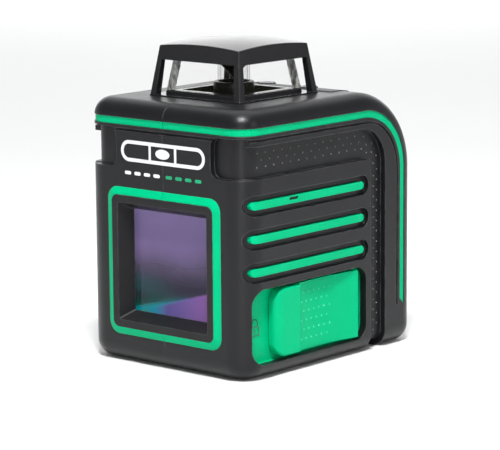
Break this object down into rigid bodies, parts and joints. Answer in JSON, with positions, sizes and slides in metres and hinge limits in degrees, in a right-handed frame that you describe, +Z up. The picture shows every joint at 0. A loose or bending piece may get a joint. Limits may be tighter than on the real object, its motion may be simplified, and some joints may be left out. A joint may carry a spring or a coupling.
{
  "type": "self-levelling laser level",
  "caption": "Cube-shaped self-levelling line laser with a cone prism under a roofed hood, a front line window, a side lock slider and a rubber-skinned casing.",
  "frame": {"origin": "on the base plane, below the middle of the casing, at the bottom centre of the bounding box's plan", "axes": "+Z up, front window towards -Y, lock slider on the +X side"},
  "size_m": [0.068, 0.086, 0.1025],
  "materials": {
    "rubber_black": "satin overmould, fine grain",
    "abs_green": "semi-gloss moulded green",
    "plastic_gloss_black": "gloss",
    "plastic_black": "matte",
    "rubber_seal": "matte",
    "coated_glass": "anti-reflection coated",
    "clear_glass": "clear",
    "frosted_joint": "frosted glue line",
    "mirror_metal": "polished",
    "black_metal": "matt anodised",
    "brass": "turned",
    "zinc_cast": "die cast",
    "aluminium": "machined",
    "steel": "plated",
    "magnet_nickel": "nickel plated",
    "circuit_board": "solder mask",
    "chip_black": "matte",
    "cell_wrap": "printed sleeve",
    "label_grey": "printed film",
    "keypad_grey": "textured film",
    "smoked_plastic": "smoked"
  },
  "bodies": {
    "casing": {"skin_right": "rubber_black", "skin_left": "rubber_black", "shell_right": "abs_green", "shell_left": "abs_green", "rating_label": "label_grey", "indicator_lens": "smoked_plastic", "casing_screws": "steel", "window_bezel": "plastic_black", "window_glass": "coated_glass", "window_gasket": "rubber_seal", "hood": "plastic_gloss_black", "pane_seat": "plastic_gloss_black", "hood_gasket": "rubber_seal", "pane_front": "clear_glass", "pane_rear": "clear_glass", "pane_left": "clear_glass", "pane_right": "clear_glass", "pane_joints": "frosted_joint", "gimbal_bracket": "aluminium", "hood_screws": "steel", "outer_bearings": "steel", "magnet_ring": "plastic_black", "magnets": "magnet_nickel", "plunger_guide": "zinc_cast", "power_switch": "plastic_black", "battery_box": "plastic_black", "cell_1": "cell_wrap", "cell_2": "cell_wrap", "cell_3": "cell_wrap", "battery_contacts": "steel", "cover_frame": "plastic_black", "keypad_panel": "keypad_grey", "keypad_board": "circuit_board", "main_board": "circuit_board", "board_chips": "chip_black", "status_led": "circuit_board", "tripod_insert": "brass"},
    "gimbal": {"gimbal_ring": "aluminium", "gimbal_pins": "steel"},
    "pendulum": {"pendulum_frame": "zinc_cast", "pendulum_weight": "brass", "damping_ring": "aluminium", "balance_screws": "steel", "cone_module": "brass", "cone_collar": "black_metal", "cone_tube": "clear_glass", "cone_mirror": "mirror_metal", "line_module": "brass", "lens_holder": "black_metal", "line_lens": "clear_glass", "inner_bearings": "steel"},
    "slider": {"lock_slider": "abs_green", "lock_carriage": "plastic_black"},
    "brake": {"brake_plunger": "plastic_black", "brake_pad": "rubber_seal"},
    "cover": {"battery_cover": "plastic_black"},
    "latch": {"cover_latch": "plastic_black"},
    "button_left": {"button_level": "rubber_seal"},
    "button_right": {"button_plumb": "rubber_seal"}
  },
  "joints": [
    {"name": "gimbal_pitch", "type": "hinge", "parent": "casing", "child": "gimbal", "pos_m": [0, -0.0084, 0.066], "axis": [1, 0, 0], "range_deg": [-4, 4]},
    {"name": "gimbal_roll", "type": "hinge", "parent": "gimbal", "child": "pendulum", "pos_m": [0, -0.0084, 0.066], "axis": [0, 1, 0], "range_deg": [-4, 4]},
    {"name": "lock_slide", "type": "slide", "parent": "casing", "child": "slider", "axis": [0, -1, 0], "range_m": [0, 0.008]},
    {"name": "brake_drop", "type": "slide", "parent": "casing", "child": "brake", "axis": [0, 0, -1], "range_m": [0, 0.0016]},
    {"name": "cover_hinge", "type": "hinge", "parent": "casing", "child": "cover", "pos_m": [0, 0.0399, 0.0094], "axis": [-1, 0, 0], "range_deg": [0, 90]},
    {"name": "latch_slide", "type": "slide", "parent": "cover", "child": "latch", "axis": [0, 0, -1], "range_m": [0, 0.002], "stiffness_N_per_m": 400, "springref_m": -0.001},
    {"name": "button_level_press", "type": "slide", "parent": "casing", "child": "button_left", "axis": [0, 0, -1], "range_m": [0, 0.0004], "stiffness_N_per_m": 1500, "springref_m": -0.0004},
    {"name": "button_plumb_press", "type": "slide", "parent": "casing", "child": "button_right", "axis": [0, 0, -1], "range_m": [0, 0.0004], "stiffness_N_per_m": 1500, "springref_m": -0.0004}
  ],
  "couplings": [
    {"joint": "brake_drop", "follows": "lock_slide", "ratio": 0.2}
  ]
}
